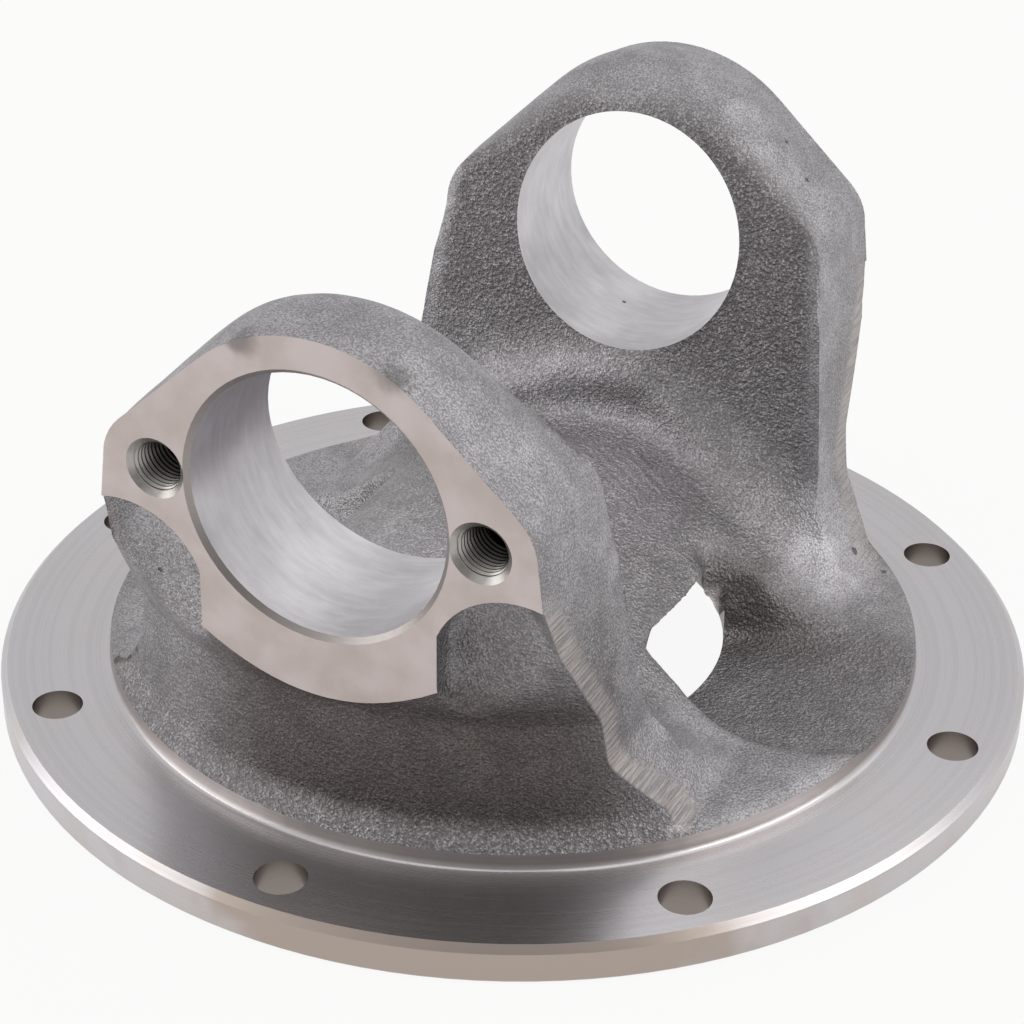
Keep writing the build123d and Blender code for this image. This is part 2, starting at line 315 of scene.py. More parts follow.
# Which zone each triangle belongs to, from where it lies and which way it faces
def zoneOf(points, faces):
    normal, _ = faceNormals(points, faces)
    corners = points[faces]
    middle = corners.mean(axis=1)
    nearest = np.hypot(corners[:, :, 0], corners[:, :, 1]).min(axis=1)
    radius = np.hypot(middle[:, 0], middle[:, 1])
    height = middle[:, 2]
    close, near = telling["close"], telling["near"]
    level = np.abs(normal[:, 2]) > telling["level"]
    upright = np.abs(normal[:, 2]) < telling["upright"]
    low = height < yoke["flangeTop"]
    zone = np.full(len(faces), cast)
    zone[level & (np.abs(height - yoke["flangeTop"]) < close)] = flangeTop
    zone[(radius > yoke["flangeRadius"] - telling["rimEdge"]) & ~level & low] = rim
    zone[level & (height < close)] = underside
    zone[level & (np.abs(height - yoke["pilotDepth"]) < close)] = underside
    onPilot = upright & (np.abs(radius - yoke["pilotRadius"]) < telling["pilotNear"])
    zone[onPilot & (height < yoke["pilotDepth"])] = underside
    onWeb = (normal[:, 2] < telling["webSlope"]) & (radius < yoke["webMouth"])
    zone[onWeb & (height < yoke["throatFoot"]) & (height > yoke["pilotDepth"])] = underside
    onShoulder = upright & (np.abs(nearest - yoke["shoulderRadius"]) < telling["shoulderNear"])
    zone[onShoulder & (corners[:, :, 2].max(axis=1) < yoke["shoulderTop"] + close)] = shoulder
    onThroat = upright & (np.abs(radius - yoke["throatRadius"]) < telling["throatNear"])
    zone[onThroat & (height > yoke["throatFoot"] - near) & (height < yoke["throatTop"] + near)] = throat
    # the bolt holes come every eighth of a turn
    turn = np.arctan2(middle[:, 1], middle[:, 0]) * 4 / math.pi
    aside = (turn - np.round(turn)) * math.pi / 4
    fromHole = np.hypot(radius * np.cos(aside) - yoke["boltCircle"], radius * np.sin(aside))
    zone[upright & (fromHole < yoke["boltHole"] + near) & low] = hole
    lean = np.abs(normal[:, 1])
    onPad = np.abs(np.abs(middle[:, 1]) - yoke["padDistance"]) < close
    zone[(lean > telling["level"]) & onPad] = pad
    fromBore = np.hypot(middle[:, 0], height - yoke["boreHeight"])
    zone[(fromBore < yoke["boreRadius"] + telling["boreNear"]) & (lean < telling["boreSlope"])] = bore
    zone[(zone == bore) & (lean > telling["boreChamfer"])] = boreEdge
    fromTap = np.hypot(np.abs(middle[:, 0]) - yoke["tapX"], height - yoke["boreHeight"])
    deep = np.abs(middle[:, 1]) > yoke["padDistance"] - yoke["tapDepth"] - near
    zone[(fromTap < yoke["tapSink"]) & deep & (zone != pad)] = tapped
    return zone


# Every edge once, as a key, and for each corner of each face which edge leaves it
def edgeTable(points, faces):
    start, end = faces, faces[:, [1, 2, 0]]
    keys = np.minimum(start, end).astype(np.int64) * len(points) + np.maximum(start, end)
    edges, which = np.unique(keys, return_inverse=True)
    return edges // len(points), edges % len(points), which.reshape(-1, 3)


# Splits each edge longer than its limit at its middle, until none is left. A face with one, two or
# three split edges becomes two, three or four faces; the quad beside two split edges takes its short
# diagonal.
def splitLong(points, faces, zone, limitOf, turns=12):
    for _ in range(turns):
        low, high, which = edgeTable(points, faces)
        limit = limitOf(points[faces], zone)
        allowed = np.full(len(low), np.inf)
        np.minimum.at(allowed, which.reshape(-1), np.repeat(limit, 3))
        split = np.linalg.norm(points[low] - points[high], axis=1) > allowed
        if not split.any():
            break
        number = np.full(len(low), -1)
        number[split] = len(points) + np.arange(split.sum())
        points = np.vstack([points, (points[low[split]] + points[high[split]]) / 2])
        middle = number[which]
        count = (middle >= 0).sum(axis=1)
        made, kept = [faces[count == 0]], [zone[count == 0]]
        for several in (1, 2, 3):
            group = count == several
            if not group.any():
                continue
            has = middle[group] >= 0
            first = np.argmax(has, axis=1) if several == 1 else (np.argmin(has, axis=1) + 1) % 3
            rows = np.arange(group.sum())
            a, b, c = (faces[group][rows, (first + k) % 3] for k in range(3))
            ab, bc, ca = (middle[group][rows, (first + k) % 3] for k in range(3))
            if several == 1:
                parts = [(a, ab, c), (ab, b, c)]
            elif several == 2:
                fromA = np.linalg.norm(points[a] - points[bc], axis=1)
                short = fromA < np.linalg.norm(points[ab] - points[c], axis=1)
                parts = [(ab, b, bc), (a, ab, np.where(short, bc, c)), (np.where(short, a, ab), bc, c)]
            else:
                parts = [(a, ab, ca), (ab, b, bc), (ca, bc, c), (ab, bc, ca)]
            made += [np.stack(part, axis=1) for part in parts]
            kept += [zone[group]] * len(parts)
        faces, zone = np.vstack(made), np.concatenate(kept)
    return points, faces, zone


# Turns the edge between two faces to their other diagonal where that makes rounder triangles and both
# faces lie in one zone and nearly one plane. Each face takes part in one turn at a time.
def evenOut(points, faces, zone, turns=20, flat=0.985):
    for _ in range(turns):
        start, end, over = (np.roll(faces, -k, axis=1).reshape(-1) for k in range(3))
        size = len(points)
        keys = np.minimum(start, end).astype(np.int64) * size + np.maximum(start, end)
        order = np.argsort(keys, kind="stable")
        same = np.nonzero(keys[order][:-1] == keys[order][1:])[0]
        first, second = order[same], order[same + 1]
        one, two = first // 3, second // 3
        u, v, w, x = start[first], end[first], over[first], over[second]
        normal, _ = faceNormals(points, faces)
        level = (normal[one] * normal[two]).sum(axis=1) > flat
        gain = np.zeros(len(first))
        for tip in (w, x):
            p, q = points[u] - points[tip], points[v] - points[tip]
            gain += (p * q).sum(axis=1) / np.maximum(np.linalg.norm(np.cross(p, q), axis=1), 1e-9)
        fresh = np.minimum(w, x).astype(np.int64) * size + np.maximum(w, x)
        wanted = level & (zone[one] == zone[two]) & (gain < -1e-3) & (w != x) & ~np.isin(fresh, keys)
        if not wanted.any():
            break
        best = np.zeros(len(faces))
        np.minimum.at(best, one[wanted], gain[wanted])
        np.minimum.at(best, two[wanted], gain[wanted])
        chosen = np.nonzero(wanted & (gain == best[one]) & (gain == best[two]))[0]
        _, single = np.unique(fresh[chosen], return_index=True)
        chosen = chosen[single]
        busy = np.bincount(np.concatenate([one[chosen], two[chosen]]), minlength=len(faces))
        chosen = chosen[(busy[one[chosen]] == 1) & (busy[two[chosen]] == 1)]
        if len(chosen) == 0:
            break
        faces = faces.copy()
        faces[one[chosen]] = np.stack([u[chosen], x[chosen], w[chosen]], axis=1)
        faces[two[chosen]] = np.stack([v[chosen], w[chosen], x[chosen]], axis=1)
    return points, faces, zone


# Numbers that scatter the corners of the noise's grid
scatter = {
    "axes": (73856093, 19349663, 83492791),
    "spread": 2654435761,
    "perSeed": 7919,
    "shift": 17.31,
}


# Value noise of about -1 to 1: a scattered number at each corner of a cubic grid, blended smoothly between
def gridNoise(points, size, seed):
    spot = points / size + seed * scatter["shift"]
    cell = np.floor(spot).astype(np.int64)
    part = spot - cell
    part = part * part * (3 - 2 * part)
    total = np.zeros(len(points))
    for corner in range(8):
        step = np.array([corner & 1, corner >> 1 & 1, corner >> 2 & 1])
        at = (cell + step).astype(np.uint64) * np.array(scatter["axes"], np.uint64)
        number = at[:, 0] ^ at[:, 1] ^ at[:, 2]
        number = (number ^ number >> np.uint64(13)) * np.uint64(scatter["spread"])
        number = number + np.uint64(seed * scatter["perSeed"])
        value = (number >> np.uint64(9) & np.uint64(65535)).astype(float) / 32767.5 - 1
        total += value * np.prod(np.where(step, part, 1 - part), axis=1)
    return total


# Three sizes of noise added up, each half the size and rough times the height of the one before
def layeredNoise(points, size, seed, rough=0.55):
    total, height, heights = np.zeros(len(points)), 1.0, 0.0
    for layer in range(3):
        total += height * gridNoise(points, size / 2 ** layer, seed + layer)
        heights += height
        height *= rough
    return total / heights


# 0 on the side of low, 1 on the side of high, and smooth between; low may be the larger one
def smoothStep(value, low, high):
    part = np.clip((value - low) / (high - low), 0, 1)
    return part * part * (3 - 2 * part)


# A share times smooth steps, each of which names its measure, then where it is 0 and where it is 1
def stepped(measures, share, *steps):
    for name, low, high in steps:
        share = share * smoothStep(measures[name], low, high)
    return share


# A bell of height 1 at the middle, which falls to a third at the width
def bell(value, middle, width):
    return np.exp(-((value - middle) / width) ** 2)


# Half width of the flank above its root: it grows downwards by the draft
def flankX(height):
    return yoke["flankWidth"] + yoke["flankDraft"] * (yoke["flankHeight"] - height)


# Half width of the flank, root included, at a height
def flankSurface(height):
    wide, low = yoke["rootFoot"]
    slant = (yoke["rootTop"] - height) / (yoke["rootTop"] - low)
    top = flankX(yoke["rootTop"])
    return np.where(height > yoke["rootTop"], flankX(height), top + (wide - top) * np.clip(slant, 0, 1))


# How far a point lies behind the forging's front or back wall along Y. The wall is round: its radius falls
# from the shoulder's to the upright wall's, then follows the cone, and the pads cut it off.
def behindWall(points):
    x, y, z = np.abs(points[:, 0]), np.abs(points[:, 1]), points[:, 2]
    flare = yoke["shoulderRadius"] - yoke["wallRadius"]
    flare = flare * smoothStep(z, yoke["flareTop"], yoke["shoulderTop"])
    radius = yoke["wallRadius"] + flare + yoke["coneSlope"] * np.maximum(z - yoke["coneStart"], 0)
    wall = np.sqrt(np.maximum(radius ** 2 - x ** 2, 0))
    return np.minimum(wall, yoke["padDistance"]) - y


# The sheared strips, in mm: a share, then the smooth steps that bound it
strips = {
    "width": 6.0,
    "rootWidth": (2.0, ("z", 26.0, 14.0)),  # added to the width at the root
    "flank": (1.0, ("off", -1.6, -0.6), ("off", 2.6, 1.2), ("z", 10.5, 13.0), ("z", 68.0, 62.0),
              ("behind", 0.15, 0.7), ("widths", 1.25, 0.75)),
    "faint": (0.6, ("z", 34.0, 20.0)),  # how much fainter two of the four roots are
    "throatEdge": -0.8,  # how far a window's inner edge lies from the throat's radius
    "window": (1.0, ("out", -0.8, -1.6), ("x", 30.0, 33.0), ("z", 20.0, 17.0)),
}


# 1 on the sheared strips: a band along the front and back edge of each flank and of its root, and the
# windows' inner edges. Off is the distance from the flank's surface, behind that from the body's wall.
def stripMask(points):
    x, z = np.abs(points[:, 0]), points[:, 2]
    place = {"x": x, "z": z, "off": x - flankSurface(z), "behind": behindWall(points)}
    place["widths"] = place["behind"] / (strips["width"] + stepped(place, *strips["rootWidth"]))
    place["out"] = np.hypot(points[:, 0], points[:, 1]) - yoke["throatRadius"]
    faint = stepped(place, *strips["faint"]) * (points[:, 0] * points[:, 1] > 0)
    return np.maximum(stepped(place, *strips["flank"]) * (1 - faint), stepped(place, *strips["window"]))


# The coarse skin, in mm: shares of coarseness, with the smooth steps that bound them
coarseSkin = {
    "earFace": (50.2, 0.14),  # |y| of an ear's inner face at the bore's height, and its draft
    "between": [("face", 5.0, 0.5)],
    "saddle": 0.55,
    "saddleHigh": (0.45, ("over", 22.0, 40.0)),  # added high on the saddle
    "saddleTilt": 0.4,
    "saddleEdge": [("off", -1.0, -4.0)],
    "floor": (0.62, ("aside", -30.0, -12.0), ("aside", 32.0, 20.0), ("x", 88.0, 72.0), ("z", 30.0, 22.0)),
    "crown": (0.6, ("z", 96.0, 102.0)),  # taken off
    "wall": 0.45,
    "wallFoot": (0.4, ("z", 18.0, 14.0)),  # added at the wall's foot
    "wallEdge": [("face", 4.0, 12.0), ("z", 62.0, 52.0)],
}


# 1 on the coarse skin between the ears and on the saddle, falling to 0 where the ears round over, and less
# on the floor beside the windows and on the body's wall
def coarseMask(points):
    c = coarseSkin
    x, y, z = np.abs(points[:, 0]), np.abs(points[:, 1]), points[:, 2]
    faceY, draft = c["earFace"]
    place = {"x": x, "z": z, "face": y - faceY - draft * (z - yoke["boreHeight"]), "off": x - flankX(z),
             "over": z - y * c["saddleTilt"], "aside": points[:, 1] * np.sign(points[:, 0])}
    saddle = stepped(place, c["saddle"] + stepped(place, *c["saddleHigh"]), *c["saddleEdge"])
    level = np.maximum(saddle, stepped(place, *c["floor"])) * (1 - stepped(place, *c["crown"]))
    wall = c["wall"] + stepped(place, *c["wallFoot"])
    return stepped(place, level, *c["between"]) + stepped(place, wall, *c["wallEdge"])


# How finely the forging is divided, and how its skin is softened and roughened, all in mm
skin = {
    "steps": (9.0, 4.0, 2.0),  # longest cast edge after each round of splitting
    "grain": 1.75,  # longest cast edge in the finished mesh
    "coarseGrain": 1.45,  # the same on the coarse inner faces
    "coarseFrom": 0.5,  # least share of coarseness there
    "strip": 0.95,  # the same along the sheared strips
    "stripFrom": 0.3,
    "inside": 3.0,  # the same inside the hollow
    "insideEdge": (9.0, 24.0, 24.9),  # its distance from the throat's radius, least |y| and top
    "fillet": 1.2,  # radius at the foot of the turned shoulder
    "filletGrain": 1.0,
    "slack": 0.3,  # how far past the fillet a point may lie
    "softening": 7,  # rounds of smoothing on cast edges
    "crispShare": 0.06,  # how much of it the flanks' crisp edges take
    "footSoftening": 60,  # rounds on the foot of a channel's wall
    "swell": (9.0, 0.16),  # size and depth of broad unevenness
    "lumps": (2.9, 0.15),  # size and depth of the cast lumps
    "lumpShares": (0.6, 0.7),  # share of the lumps' depth outside, and what is added on the inner faces
    "inner": (1.0, ("y", 54.0, 51.5), ("z", 20.0, 40.0)),  # the inner faces
    "onStrips": (0.7, 0.9),  # how much of the swell and of the lumps the strips lose
    "ridges": 0.25,  # depth of the strips' ridges
}


# Longest edge that each triangle may have: the round's step, but no less than its place's own fineness
def limitOf(step):
    def limit(corners, zone):
        middle = corners.mean(axis=1)
        radius = np.hypot(middle[:, 0], middle[:, 1])
        coarseHere = coarseMask(middle) > skin["coarseFrom"]
        fine = np.where(coarseHere, skin["coarseGrain"], skin["grain"])
        fine = np.where(stripMask(middle) > skin["stripFrom"], skin["strip"], fine)
        inward, side, top = skin["insideEdge"]
        hidden = (radius < yoke["throatRadius"] - inward) | (np.abs(middle[:, 1]) > side)
        hidden &= (radius < yoke["throatRadius"]) & (middle[:, 2] < top)
        fine = np.where(hidden, skin["inside"], fine)
        allowed = np.where(zone == cast, np.maximum(step, fine), np.inf)
        nearest = np.hypot(corners[:, :, 0], corners[:, :, 1]).min(axis=1) - yoke["shoulderRadius"]
        lowest = corners[:, :, 2].min(axis=1) - yoke["flangeTop"]
        reach = skin["fillet"] + skin["slack"]
        foot = ((zone == flangeTop) & (nearest < reach)) | ((zone == shoulder) & (lowest < reach))
        allowed[foot] = max(step / 2, skin["filletGrain"])
        return allowed
    return limit


# In each round a free point moves by a share of its way to the middle of its neighbours
def smoothed(points, faces, free, rounds, share=0.5):
    low, high, _ = edgeTable(points, faces)
    ends = np.concatenate([low, high])
    count = np.bincount(ends, minlength=len(points))
    for _ in range(rounds):
        others = points[np.concatenate([high, low])]
        total = [np.bincount(ends, others[:, axis], len(points)) for axis in range(3)]
        points = points + (share * free)[:, None] * (np.stack(total, axis=1) / count[:, None] - points)
    return points


# Edges where the sheared flanks meet the body's wall stay crisp: points that touch a face of each
def crispPoints(points, faces, zone):
    normal, _ = faceNormals(points, faces)
    normal = np.abs(normal)
    middle = np.abs(points[faces].mean(axis=1))
    fromX, fromY = telling["crispFrom"]
    leastX, mostY = telling["flankNormal"]
    aside = (zone == cast) & (middle[:, 0] > fromX) & (middle[:, 1] > fromY)
    flank = aside & (normal[:, 1] < mostY) & (normal[:, 0] > leastX)
    wall = aside & (normal[:, 1] > telling["wallNormal"])
    onFlank, onWall = np.zeros(len(points), bool), np.zeros(len(points), bool)
    onFlank[faces[flank].reshape(-1)] = True
    onWall[faces[wall].reshape(-1)] = True
    return onFlank & onWall


# The foot of one wall of each channel, which runs out into its floor without a crease, in mm
channel = {
    "footAt": (42.0, 14.0),  # a point of the foot: distance from the middle, and sideways
    "footSlope": 0.2,
    "width": 9.0,
    "steps": (("x", 43.0, 50.0), ("z", 27.0, 20.0)),
    "end": 79.0,
}


# 1 along that foot: a bell across a slanted line, from the window out to the shoulder
def channelFoot(points):
    x, y, z = np.abs(points[:, 0]), points[:, 1] * np.sign(points[:, 0]), points[:, 2]
    outAt, asideAt = channel["footAt"]
    near = bell(y, asideAt + (x - outAt) * channel["footSlope"], channel["width"])
    near = stepped({"x": x, "z": z}, near, *channel["steps"])
    return near * (np.hypot(x, y) < channel["end"])


# Soft shoves of the skin, here and half a turn round the shaft axis. Each follows a path of points (mm),
# and has a reach and a shift (mm).
shoves = {
    "windowCorner": ([(36.6, 17.4, 24.0), (36.8, 17.4, 22.4)], 4.4, (-1.4, -2.6, -4.6)),
    "windowSide": ([(37.4, 18.2, 20.0), (38.8, 17.6, 15.5)], 3.8, (-1.5, -1.3, -0.4)),
    "saddleEnd": ([(37.0, 0.0, 24.0), (37.0, 4.0, 24.0)], 8.0, (0.3, 0.0, -0.8)),
    "earFoot": ([(-34.0, 39.5, 31.0), (-25.0, 42.5, 36.3), (-16.0, 44.0, 39.7), (-7.6, 45.2, 42.6),
                 (0.5, 45.5, 43.6), (8.5, 45.5, 43.0), (16.4, 44.0, 39.3), (25.8, 41.0, 34.0),
                 (34.0, 37.0, 28.0)], 5.4, (0.0, -2.7, 0.9)),
    "dish": ([(-16.0, 39.0, 35.0), (-3.0, 40.8, 36.8), (8.0, 40.4, 36.4), (18.0, 36.0, 33.5)],
             5.5, (0.0, 0.9, -0.8)),
}


# Distance of each point from a path of straight pieces
def fromPath(points, path):
    nearest = np.full(len(points), np.inf)
    for start, end in zip(path[:-1], path[1:]):
        start, along = np.array(start), np.array(end) - np.array(start)
        share = np.clip((points - start) @ along / (along @ along), 0, 1)
        nearest = np.minimum(nearest, np.linalg.norm(points - start - share[:, None] * along, axis=1))
    return nearest


# A point moves by the shift times a bell of its distance from the path
def shoved(points, free):
    points = points.copy()
    for side in (-1, 1):
        turned = np.array([side, side, 1])
        for path, reach, shift in shoves.values():
            near = bell(fromPath(points * turned, path), 0, reach) * free
            points += near[:, None] * (np.array(shift) * turned)
    return points


# The channel's floor rises to a lip where it meets the round hollow, in mm
lip = {
    "height": 3.1,
    "width": 4.5,
    "length": (19.0, 14.0),  # |y| at which it ends and at which it is full
    "floor": (-0.3, 4.0),  # how far below and above the throat's top the floor lies
    "inner": -0.6,  # how far inside the throat's radius it begins
    "fromX": 30.0,
}


# Height times a bell of the distance from the throat's edge, on the floor only
def lipRaised(points):
    x, y, z = points[:, 0], points[:, 1], points[:, 2]
    outward = np.hypot(x, y) - yoke["throatRadius"]
    lowest, highest = (yoke["throatTop"] + level for level in lip["floor"])
    onFloor = (z > lowest) & (z < highest) & (outward > lip["inner"]) & (np.abs(x) > lip["fromX"])
    rise = bell(outward, 0, lip["width"]) * smoothStep(np.abs(y), *lip["length"])
    points = points.copy()
    points[:, 2] += lip["height"] * rise * onFloor
    return points


# Points within one radius of the corner between flange and shoulder are moved along the corner onto a
# quarter circle that touches both faces.
def filletShoulder(points, zone, faces):
    radius = np.hypot(points[:, 0], points[:, 1])
    reach, tiny = skin["fillet"], 1e-3
    out, up = radius - yoke["shoulderRadius"], points[:, 2] - yoke["flangeTop"]
    near = np.zeros(len(points), bool)
    near[faces[(zone == flangeTop) | (zone == shoulder)].reshape(-1)] = True
    near &= (out > -skin["slack"]) & (out < reach) & (up > -10 * tiny) & (up < reach)
    along = np.clip(np.where(up > tiny, up, -out), -reach, reach) / reach
    angle = (along + 1) * math.pi / 4
    newRadius = yoke["shoulderRadius"] + reach * (1 - np.sin(angle))
    factor = np.where(near, newRadius / np.maximum(radius, tiny), 1.0)
    points = points.copy()
    points[:, :2] *= factor[:, None]
    points[near, 2] = yoke["flangeTop"] + reach * (1 - np.cos(angle[near]))
    return points


# The ridges that shearing left along the strips
ridging = {
    "lean": (1.15, 0.5),  # how fast they follow each other along the height and along |x|
    "drawn": 0.08,  # the same along Y, where they are drawn out
    "sides": (40.0, 15.0),  # steps that make each strip's ridges its own
    "sizes": (1.7, 0.9),  # mm
    "shares": (0.6, 0.4),
    "seeds": (31, 32),
}


# Their depth from 0 to 1: two sizes of noise over the height, drawn out along Y
def shearRidges(points):
    up, out = ridging["lean"]
    ownX, ownY = ridging["sides"]
    run = points[:, 2] * up + np.abs(points[:, 0]) * out
    own = np.sign(points[:, 0]) * ownX + np.sign(points[:, 1]) * ownY
    way = np.stack([run, points[:, 1] * ridging["drawn"], own], axis=1)
    layers = zip(ridging["shares"], ridging["sizes"], ridging["seeds"])
    return (sum(share * gridNoise(way, size, seed) for share, size, seed in layers) + 1) / 2


# The cast skin sinks along its normals, by broad swells, by lumps and by the ridges of the sheared strips
def roughened(points, faces, free):
    normal = pointNormals(points, faces)
    swell = (layeredNoise(points, skin["swell"][0], 3) + 1) / 2 * skin["swell"][1]
    lumps = (layeredNoise(points, skin["lumps"][0], 11) + 1) / 2 * skin["lumps"][1]
    strip = stripMask(points)
    inner = stepped({"y": np.abs(points[:, 1]), "z": points[:, 2]}, *skin["inner"])
    fromSwell, fromLumps = skin["onStrips"]
    outside, more = skin["lumpShares"]
    depth = swell * (1 - fromSwell * strip) + lumps * (1 - fromLumps * strip) * (outside + more * inner)
    depth += skin["ridges"] * strip * shearRidges(points)
    return points - normal * (depth * free)[:, None]


# The threads of the four tapped holes, in mm
thread = {
    "pitch": 1.058,
    "root": 4.76,
    "rings": 8,  # rings of points in one pitch
    "length": 11.0,
    "steepness": 1.25,  # the groove's wave times this, cut off at 0 and 1
}


# The hole's wall as a grid of turn and depth: at each place the wider of the countersink's cone and the
# thread, whose groove is a wave along the depth that moves by one pitch in one turn.
def threadedHole(points, faces, zone, x, side):
    centre = np.array([x, side * yoke["padDistance"], yoke["boreHeight"]])
    edge = np.intersect1d(faces[zone == pad], faces[zone == tapped])
    away = points[edge] - centre
    onPad = np.abs(away[:, 1]) < telling["near"]
    edge = edge[onPad & (np.hypot(away[:, 0], away[:, 2]) < yoke["tapSink"] + 1)]
    away = points[edge] - centre
    turn = np.arctan2(away[:, 2], away[:, 0])
    edge, turn = edge[np.argsort(turn)], np.sort(turn)
    step = thread["pitch"] / thread["rings"]
    depth = np.append(np.arange(step, thread["length"], step), yoke["tapDepth"])[:, None]
    wave = (depth / thread["pitch"] + side * turn[None, :] / (2 * math.pi)) % 1.0
    steep = thread["steepness"]
    groove = np.clip(steep * (1 - np.abs(2 * wave - 1)) - (steep - 1) / 2, 0, 1)
    radius = yoke["tapDrill"] + (thread["root"] - yoke["tapDrill"]) * groove * (depth < thread["length"])
    radius = np.maximum(radius, yoke["tapSink"] - depth)
    grid = np.stack([x + radius * np.cos(turn), side * (yoke["padDistance"] - depth) + 0 * radius,
                     yoke["boreHeight"] + radius * np.sin(turn)], axis=2)
    columns, rings = len(turn), len(depth)
    index = np.vstack([edge[None, :], len(points) + np.arange(columns * rings).reshape(rings, columns)])
    a, b = index[:-1], index[1:]
    c, d = np.roll(a, -1, axis=1), np.roll(b, -1, axis=1)
    walls = np.vstack([np.stack(part, axis=2).reshape(-1, 3) for part in ((a, c, d), (a, d, b))])
    bottom = len(points) + columns * rings
    last = index[-1]
    floor = np.stack([last, np.roll(last, -1), np.full(columns, bottom)], axis=1)
    made = np.vstack([walls, floor])
    if side > 0:
        made = made[:, ::-1]
    floorPoint = [[x, side * (yoke["padDistance"] - yoke["tapDepth"]), yoke["boreHeight"]]]
    return np.vstack([points, grid.reshape(-1, 3), floorPoint]), made


# The CAD node's own faces, divided finely. Cast points are smoothed, shoved and roughened, the corner at the
# shoulder gets its fillet, and the four tapped holes are made anew with threads.
def forgedSurface():
    points, faces = cadSurface(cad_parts["forged_yoke"])
    zone = zoneOf(points, faces)
    for step in skin["steps"] + (0.0,):
        points, faces, zone = splitLong(points, faces, zone, limitOf(step))
        points, faces, zone = evenOut(points, faces, zone)
    fixed = np.zeros(len(points), bool)
    fixed[faces[zone != cast].reshape(-1)] = True
    free = (~fixed).astype(float)
    crisp = crispPoints(points, faces, zone)
    points = smoothed(points, faces, free * np.where(crisp, skin["crispShare"], 1.0), skin["softening"])
    points = smoothed(points, faces, free * channelFoot(points), skin["footSoftening"])
    points = shoved(points, free)
    points = lipRaised(points)
    points = roughened(points, faces, free)
    points = filletShoulder(points, zone, faces)
    holes = []
    for side in (-1, 1):
        for x in (-yoke["tapX"], yoke["tapX"]):
            points, made = threadedHole(points, faces, zone, x, side)
            holes.append(made)
    kept = zone != tapped
    zone = np.concatenate([zone[kept], np.full(sum(len(made) for made in holes), tapped)])
    faces = np.vstack([faces[kept]] + holes)
    used, index = np.unique(faces, return_inverse=True)
    return points[used], index.reshape(-1, 3), zone


# Edges between two zones, and edges between faces that turn by more than some degrees, are sharp
def sharpEdges(mesh, points, faces, zone):
    low, high, which = edgeTable(points, faces)
    normal, _ = faceNormals(points, faces)
    sides = which.reshape(-1)
    order = np.argsort(sides, kind="stable")
    first = np.searchsorted(sides[order], np.arange(len(low)))
    last = np.searchsorted(sides[order], np.arange(len(low)), side="right") - 1
    one, two = order[first] // 3, order[last] // 3
    turn = (normal[one] * normal[two]).sum(axis=1)
    pair = np.stack([zone[one], zone[two]], axis=1)
    machined = (pair != cast).all(axis=1) & (pair != tapped).all(axis=1)
    atFoot = np.isin(pair, (flangeTop, shoulder)).all(axis=1)
    sharp = (pair[:, 0] != pair[:, 1]) & ~atFoot
    sharp |= machined & (turn < math.cos(math.radians(telling["machinedTurn"])))
    sharp &= ~(atFoot & (turn > telling["footTurn"]))
    sharp |= (pair == cast).all(axis=1) & (turn < math.cos(math.radians(telling["castTurn"])))
    ends = np.empty(len(mesh.edges) * 2, np.int32)
    mesh.edges.foreach_get("vertices", ends)
    ends = np.sort(ends.reshape(-1, 2), axis=1).astype(np.int64)
    known = low.astype(np.int64) * len(points) + high
    place = np.searchsorted(known, ends[:, 0] * len(points) + ends[:, 1])
    layer = mesh.attributes.new("sharp_edge", "BOOLEAN", "EDGE")
    layer.data.foreach_set("value", sharp[place])


# Painted shade: where the skin is painted darker and browner, in mm: shares of the shade, with the smooth
# steps that bound them
paintedShading = {
    "wall": (0.9, ("y", 50.0, 62.0), ("z", 12.5, 16.5), ("z", 50.0, 38.0), ("fromWall", 52.0, 24.0)),
    "wallMiddle": 14.0,
    "pocket": (0.35, ("y", 64.0, 70.0), ("z", 40.0, 46.0), ("z", 66.0, 60.0)),
    "pocketAt": (31.0, 8.0),  # middle and width of its bell
    "corner": (0.7, ("x", 30.0, 38.0), ("x", 74.0, 46.0), ("z", 28.0, 20.0)),
    "cornerAt": (18.0, 8.0),
    "floor": (0.18, ("aside", -24.0, 4.0), ("x", 48.0, 66.0), ("z", 22.0, 14.0)),
}


# The largest of the painted shades on the upright wall under the pads, under the pockets, in the corners of
# the channels' walls and on their floors. Half a turn round the shaft axis each is the same.
def paintedShadeMask(points):
    along = points[:, 0] * np.where(points[:, 1] < 0, 1, -1)
    aside = points[:, 1] * np.sign(points[:, 0])
    place = {"x": np.abs(points[:, 0]), "y": np.abs(points[:, 1]), "z": points[:, 2], "aside": aside,
             "fromWall": np.abs(along - paintedShading["wallMiddle"])}
    pocket = stepped(place, *paintedShading["pocket"]) * bell(along, *paintedShading["pocketAt"])
    corner = stepped(place, *paintedShading["corner"]) * bell(aside, *paintedShading["cornerAt"])
    wall, floor = (stepped(place, *paintedShading[name]) for name in ("wall", "floor"))
    return np.max([wall, pocket, corner, floor], axis=0)


# Painted light: where the skin is painted paler than elsewhere, along the upper side of the bead under the
# bores, and round some places. Each has a path of points, a reach (mm) and a share.
paintedLight = {
    "bead": ([(x, y, z + 2.5) for x, y, z in shoves["earFoot"][0][:5]], 4.5, 0.85),
    "dish": ([(-9.0, 34.5, 34.0), (1.2, 37.0, 35.0), (9.0, 35.5, 34.5)], 7.5, 0.95),
    "channelWall": ([(52.0, 40.0, 19.5), (57.0, 41.0, 14.5)], 9.0, 0.55),
    "pocket": ([(-31.0, -72.4, 43.0), (-31.0, -72.4, 49.0)], 7.0, 0.55),
}

# The saddle's middle, painted paler as painted light
paintedLightMiddle = (1.0, ("x", 36.0, 14.0), ("y", 42.0, 30.0), ("z", 22.0, 26.0))
